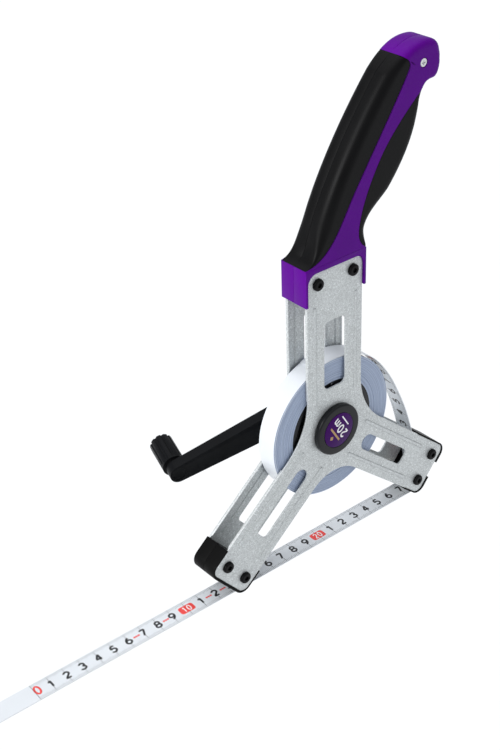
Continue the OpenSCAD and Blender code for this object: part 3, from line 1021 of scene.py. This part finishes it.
def button_screw():
    """A button-head screw with a hexagonal socket, pointing along +Y from its head at the origin."""
    piece = cylinder("screw", SCREW_HEAD, SCREW_HEIGHT, (0, -SCREW_HEIGHT / 2, 0), 48)
    edit(piece)
    pick(piece, "FACE", lambda f: f.normal.y > 0.9)
    bpy.ops.mesh.inset(thickness=SCREW_HEAD - SCREW_SHANK)
    bpy.ops.mesh.extrude_region_move(TRANSFORM_OT_translate={"value": (0, SCREW_LENGTH, 0)})
    pick(piece, "EDGE", lambda e: all(abs(v.co.y + SCREW_HEIGHT) < 1e-6 for v in e.verts)
         and all(abs(v.co.xz.length - SCREW_HEAD) < 1e-5 for v in e.verts))
    bpy.ops.mesh.bevel(offset=0.55 * SCREW_HEIGHT, segments=6, profile=0.55)
    done()
    cut_away(piece, cylinder("socket", 0.46 * SCREW_HEAD, SCREW_HEIGHT, (0, -SCREW_HEIGHT, 0), 6))
    return piece


class REEL_OT_screws(bpy.types.Operator):
    """Makes the frame screws and the spacers that they run into"""
    bl_idname = "reel.screws"
    bl_label = "Screws and spacers"

    def execute(self, context):
        spots = screw_spots()
        for side, way in (("front", 1), ("rear", -1)):
            low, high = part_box(side + "_frame_screws")
            head_face = low.y if way > 0 else high.y
            screws = []
            for x, z in spots:
                screw = button_screw()
                turn = Matrix.Rotation(0 if way > 0 else math.radians(180), 4, "Z")
                spin = Matrix.Rotation(math.radians(17 * len(screws)), 4, "Y")
                place = Matrix.Translation((x, head_face + way * SCREW_HEIGHT, z))
                screw.data.transform(place @ turn @ spin)
                screws.append(screw)
            group = join(screws, side + "_screws")
            smooth(group, 35)
            settle(group, side + "_frame_screws", black_oxide())
        for name in SPACERS:
            refined(name, name.replace("spacers", "spacer_pair"), bright_steel(), 0.0002)
        return {"FINISHED"}


SPACERS = ("handle_spacers", "left_guide_spacers", "right_guide_spacers")
SPACER_REACH = 0.0053


def screw_spots():
    """Centres of the frame screws, read from the spacers that they run into."""
    spots = []
    for name in SPACERS:
        low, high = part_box(name)
        points = [v.co for v in frame["nodes"][name].data.vertices]
        for end in (low.x, high.x):
            near = [p for p in points if abs(p.x - end) < SPACER_REACH]
            middle_x = (min(p.x for p in near) + max(p.x for p in near)) / 2
            middle_z = (min(p.z for p in near) + max(p.z for p in near)) / 2
            spots.append((middle_x, middle_z))
    return spots


# Handle outline, in millimetres from the spindle: palm side up, over the crown, finger side down

NECK_LEFT, NECK_RIGHT = (-22, 109), (22, 109)
PALM_LOW, PALM_HIGH, PALM_END = (-12.5, 120), (36.8, 201.6), (47.3, 208.9)
CROWN, CROWN_END = (68.5, 213.6), (75.5, 203)
FINGER_START, FINGER_HIGH = (65.5, 191.4), (61, 181.5)
FINGER_LOW, FINGER_NECK = (39.4, 136.7), (21.8, 117)
PALM_LEGS = [((-17, 110), (-14.5, 113.5), PALM_LOW), ((-5.5, 143), (13, 173.8), PALM_HIGH),
             ((40.2, 204.5), (43.8, 206.8), PALM_END)]
CROWN_LEGS = [((53, 212.6), (60, 215), CROWN), ((73.6, 212.4), (75.6, 209.3), CROWN_END)]
HEEL_LEGS = [((75.2, 197), (74.2, 193), (71, 191.8)), ((69.2, 191.6), (67.2, 191.5), FINGER_START)]
FINGER_LEGS = [((62.6, 190), (61.3, 185.8), FINGER_HIGH), ((61.3, 166), (50.6, 149), FINGER_LOW),
               ((31.8, 130.3), (22.4, 126.5), FINGER_NECK), ((21.3, 113), (22, 111), NECK_RIGHT)]
SEAM_CORNER = (51, 201)
PALM_SEAM_LEGS = [((51.6, 206.6), (52.6, 204), SEAM_CORNER), ((43, 187), (25.5, 162.5), (14, 145.3)),
                  ((2, 127), (-3, 111.5), NECK_LEFT)]
FINGER_SEAM_LEGS = [((55.5, 183.5), (42, 172), (33.3, 160.1)), ((25.5, 148.5), (18, 134), (16.4, 121.1)),
                    ((15.8, 115.5), (18, 111), NECK_RIGHT)]


def handle_rim(handle):
    """The handle's outer line with its corner radius at each point, and a search tree over it."""
    steps = 120
    nose, heel, notch = 0.8 * handle.crown_round, 0.0026, 0.0018
    parts = [
        (chain(NECK_LEFT, *PALM_LEGS), handle.neck_round, handle.palm_round, handle.crown_round),
        (chain(PALM_END, *CROWN_LEGS), handle.crown_round, handle.crown_round, nose),
        (chain(CROWN_END, *HEEL_LEGS), nose, heel, notch),
        (chain(FINGER_START, *FINGER_LEGS), notch, handle.finger_round, handle.neck_round),
    ]
    rim = []
    for line, first, between, last in parts:
        even = spread_evenly(line, steps)
        for i, point in enumerate(even[:-1]):
            share = i / steps
            up = min(1, share / 0.22)
            down = min(1, (1 - share) / 0.12)
            radius = first + (between - first) * up * up * (3 - 2 * up)
            radius = last + (radius - last) * down * down * (3 - 2 * down)
            rim.append((point, radius / MM))
    rim.append((Vector(NECK_RIGHT), handle.neck_round / MM))
    tree = KDTree(len(rim))
    for i, (point, _) in enumerate(rim):
        tree.insert((point.x, point.y, 0), i)
    tree.balance()
    return rim, tree


def handle_depth(point, rim, tree, half):
    """How far the handle's front stands from its middle plane at a point, in millimetres."""
    power = 2.3
    nearest = tree.find((point.x, point.y, 0))[1]
    best, radius = 1e9, 1
    for k in (nearest - 1, nearest):
        if 0 <= k < len(rim) - 1:
            a, b = rim[k][0], rim[k + 1][0]
            share = min(1, max(0, intersect_point_line(point, a, b)[1]))
            away = (point - a.lerp(b, share)).length
            if away < best:
                best = away
                radius = rim[k][1] + (rim[k + 1][1] - rim[k][1]) * share
    if best >= radius:
        return half
    return half - radius + radius * (1 - (1 - best / radius) ** power) ** (1 / power)


def half_panel(name, left, right, columns, rim, tree, half, way):
    """A closed half of the handle between two rails: rounded outside, flat on the parting plane."""
    rows = len(left) - 1
    piece = grid(name, columns, rows)
    for vertex in piece.data.vertices:
        across = (1 - math.cos(math.pi * (vertex.co.x + 0.5))) / 2
        row = round((vertex.co.y + 0.5) * rows)
        point = left[row].lerp(right[row], across)
        vertex.co = at_hub(point.x, -way * handle_depth(point, rim, tree, half), point.y)
    parting = 0.00002
    edit(piece)
    bpy.ops.mesh.remove_doubles(threshold=2e-6)
    pick(piece, "EDGE", lambda e: e.is_boundary)
    bpy.ops.mesh.extrude_edges_move()
    bpy.ops.transform.resize(value=(1, 0, 1), center_override=(0, -way * parting, 0))
    bpy.ops.mesh.edge_face_add()
    bpy.ops.mesh.select_all(action="SELECT")
    bpy.ops.mesh.normals_make_consistent(inside=False)
    done()
    return piece


def seam_share(point):
    """Edges stay sharp where a panel runs out to a thin tip, and are rounded more and more from there."""
    sharp, blend = 0.0025, 0.004
    tips = [at_hub(x, 0, z) for x, z in (NECK_LEFT, NECK_RIGHT, PALM_END, FINGER_START)]
    near = min((Vector((tip.x, 0, tip.z)) - Vector((point.x, 0, point.z))).length for tip in tips)
    return min(1, max(0, near - sharp) / blend)


class REEL_OT_handle(bpy.types.Operator):
    """Makes the handle's hard shell halves and soft grips"""
    bl_idname = "reel.handle"
    bl_label = "Handle"

    def execute(self, context):
        handle = look("reel_handle")
        rim, tree = handle_rim(handle)
        palm = chain(NECK_LEFT, *PALM_LEGS)
        palm_seam = list(reversed(chain(PALM_END, *PALM_SEAM_LEGS)))
        finger = list(reversed(chain(FINGER_START, *FINGER_LEGS)))
        finger_seam = list(reversed(chain(FINGER_START, *FINGER_SEAM_LEGS)))
        crown = chain(PALM_END, *CROWN_LEGS)
        heel = list(reversed(chain(CROWN_END, *HEEL_LEGS)))
        corner = min(range(len(palm_seam)), key=lambda i: (palm_seam[i] - Vector(SEAM_CORNER)).length)
        top = palm_seam[corner:] + crown[1:]
        shaft_rows, head_rows, grip_rows = 70, 60, 100
        shell_left = spread_evenly(palm_seam[:corner + 1], shaft_rows)[:-1] + spread_evenly(top, head_rows)
        shell_right = spread_evenly(finger_seam, shaft_rows)[:-1] + spread_evenly(heel, head_rows)
        shell_half = handle.half_depth / MM
        grip_half = shell_half - handle.grip_step / MM
        for side, way in (("front", 1), ("rear", -1)):
            for part, outer, inner in (("palm", palm, palm_seam), ("finger", finger, finger_seam)):
                grip = half_panel(f"{part}_rubber_{side}", spread_evenly(outer, grip_rows),
                                  spread_evenly(inner, grip_rows), 22, rim, tree, grip_half, way)
                round_edges(grip, handle.seam_round, 3, 50, seam_share)
                smooth(grip, 40)
                settle(grip, f"{part}_grip_{side}", grip_rubber())
            strip = half_panel("strip", shell_left, shell_right, 26, rim, tree, shell_half, way)
            round_edges(strip, handle.seam_round, 3, 50, seam_share)
            socket = socket_half(side, handle)
            shell = join([strip, socket], "shell_" + side)
            if side == "front":
                bore_for_screw(shell)
            smooth(shell, 40)
            settle(shell, "handle_shell_" + side, shell_plastic())
        refined("handle_end_screw", "end_screw", bright_steel(), 0.0002)
        refined("handle_end_insert", "end_insert", brass(), 0.0002)
        return {"FINISHED"}


def socket_half(side, handle):
    """The socket that holds the frame, cut from the shell below its neck."""
    piece = copy_of("handle_shell_" + side, "socket")
    round_edges(piece, handle.neck_round, 3)
    edit(piece)
    bpy.ops.mesh.bisect(plane_co=at_hub(0, 0, NECK_LEFT[1]), plane_no=(0, 0, 1), use_fill=True,
                        clear_outer=True)
    done()
    return piece


def bore_for_screw(shell):
    """Sinks the end screw's hole into the head."""
    low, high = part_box("handle_end_screw")
    centre = (low + high) / 2
    radius, depth, above = 0.0027, 0.0032, 0.0002
    cut_away(shell, cylinder("bore", radius, depth, (centre.x, low.y - above, centre.z), 64))


class REEL_OT_guides(bpy.types.Operator):
    """Makes the tape guides and the roller"""
    bl_idname = "reel.guides"
    bl_label = "Guides"

    def execute(self, context):
        for arm in ("left", "right"):
            for side in ("front", "rear"):
                refined(f"{arm}_guide_{side}", f"{arm}_guide_half_{side}", guide_plastic(),
                        0.00035)
        refined("guide_roller", "tape_roller", bush_plastic(), 0.0002)
        return {"FINISHED"}


def hub_cap(hub):
    """The round cap, with a shallow recess for its label."""
    low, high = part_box("hub_cap")
    recess_radius, recess_slope, recess = hub.label_radius + 0.0001, 0.0004, 0.0003
    piece = cylinder("cap", hub.cap_radius, high.y - low.y, (HUB.x, (low.y + high.y) / 2, HUB.z), 160)
    edit(piece)
    pick(piece, "FACE", lambda f: f.normal.y < -0.9)
    bpy.ops.mesh.inset(thickness=hub.cap_radius - recess_radius - recess_slope)
    bpy.ops.mesh.inset(thickness=recess_slope, depth=-recess)
    pick(piece, "EDGE", lambda e: all(abs(v.co.y - low.y) < 1e-6
                                      and abs((v.co - HUB).xz.length - hub.cap_radius) < 1e-5
                                      for v in e.verts))
    bpy.ops.mesh.bevel(offset=hub.cap_round, segments=6)
    done()
    return piece


class REEL_OT_hub(bpy.types.Operator):
    """Makes the bushes, the spindle, the cap and its label"""
    bl_idname = "reel.hub"
    bl_label = "Hub"

    def execute(self, context):
        hub = look("reel_hub")
        cap = hub_cap(hub)
        smooth(cap, 30)
        settle(cap, "hub_cap", cap_plastic())
        label_low, label_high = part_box("cap_label")
        label = cylinder("label", hub.label_radius, label_high.y - label_low.y,
                         (HUB.x, (label_low.y + label_high.y) / 2, HUB.z), 128)
        round_edges(label, 0.00008, 2)
        smooth(label, 30)
        settle(label, "cap_label", label_film())
        label_print(hub, label_low.y)
        for name, piece in (("front_bush", "front_bearing"), ("rear_bush", "rear_bearing")):
            refined(name, piece, bush_plastic(), 0.0002)
        refined("spindle", "spindle_shaft", bright_steel(), 0.0002)
        refined("retaining_ring", "spindle_clip", bright_steel(), 0.0001)
        return {"FINISHED"}


def label_print(hub, face_y):
    """The label's print: the tape's length between plain rules."""
    depth = 0.00004
    number = [moved(lettering("20m", 0.006, 0.00105, depth), 0.0002, -0.0014),
              bar("rule", 0.0012, -0.0067, 0.0087, 0.0008, depth)]
    trim = [bar("rule", 0.00015, 0.0034, 0.0118, 0.0012, depth),
            moved(bar("lozenge", 0, 0, 0.0021, 0.0021, depth, 0.0003), 0, 0.0066, turn=math.radians(45))]
    place = (Matrix.Translation((HUB.x, face_y - depth / 2, HUB.z))
             @ Matrix.Rotation(math.radians(90), 4, "X") @ Matrix.Rotation(hub.label_turn, 4, "Z"))
    for name, parts, colour in (("label_number", number, white_ink()), ("label_trim", trim, gold_ink())):
        piece = join(parts, name)
        piece.data.transform(place)
        dress(piece, "cap_label", colour)


class REEL_OT_crank(bpy.types.Operator):
    """Makes the crank arm, its screw and its knob"""
    bl_idname = "reel.crank"
    bl_label = "Crank"

    def execute(self, context):
        refined("crank_arm", "crank_lever", crank_plastic(), 0.0009, 4)
        refined("crank_knob", "knob", crank_plastic(), 0.0004, 3)
        refined("crank_washer", "lever_washer", bright_steel(), 0.0001, 2)
        refined("crank_screw", "lever_screw", black_oxide(), 0.0005, 4)
        refined("knob_pin", "knob_axle", bright_steel(), 0.0003)
        refined("knob_washer", "knob_spacer", bush_plastic(), 0.0001, 2)
        return {"FINISHED"}


class REEL_PT_panel(bpy.types.Panel):
    """Lists the reel's settings and the pieces that can be made"""
    bl_label = "Tape reel"
    bl_idname = "REEL_PT_panel"
    bl_space_type = "VIEW_3D"
    bl_region_type = "UI"
    bl_category = "Tape reel"

    def draw(self, context):
        for name, operators in SECTIONS.items():
            box = self.layout.box()
            settings = getattr(context.scene, name)
            for key in settings.__annotations__:
                box.prop(settings, key)
            for operator in operators:
                box.operator(operator.bl_idname)


SETTINGS = {
    "reel_stage": StageSettings,
    "reel_tape": TapeSettings,
    "reel_plates": PlateSettings,
    "reel_handle": HandleSettings,
    "reel_hub": HubSettings,
}
SECTIONS = {
    "reel_stage": [REEL_OT_stage],
    "reel_tape": [REEL_OT_tape, REEL_OT_coil],
    "reel_plates": [REEL_OT_plates, REEL_OT_screws, REEL_OT_guides],
    "reel_handle": [REEL_OT_handle],
    "reel_hub": [REEL_OT_hub, REEL_OT_crank],
}
OPERATORS = [operator for operators in SECTIONS.values() for operator in operators]


def register():
    for settings in SETTINGS.values():
        bpy.utils.register_class(settings)
    for operator in (*OPERATORS, REEL_PT_panel):
        bpy.utils.register_class(operator)
    for name, settings in SETTINGS.items():
        setattr(bpy.types.Scene, name, bpy.props.PointerProperty(type=settings))


def unregister():
    for name in SETTINGS:
        delattr(bpy.types.Scene, name)
    for item in (REEL_PT_panel, *reversed(OPERATORS), *reversed(SETTINGS.values())):
        bpy.utils.unregister_class(item)


def main():
    register()
    bpy.ops.reel.stage()
    bpy.ops.reel.tape()
    bpy.ops.reel.coil()
    bpy.ops.reel.plates()
    bpy.ops.reel.screws()
    bpy.ops.reel.guides()
    bpy.ops.reel.handle()
    bpy.ops.reel.hub()
    bpy.ops.reel.crank()


if __name__ == "__main__":
    main()
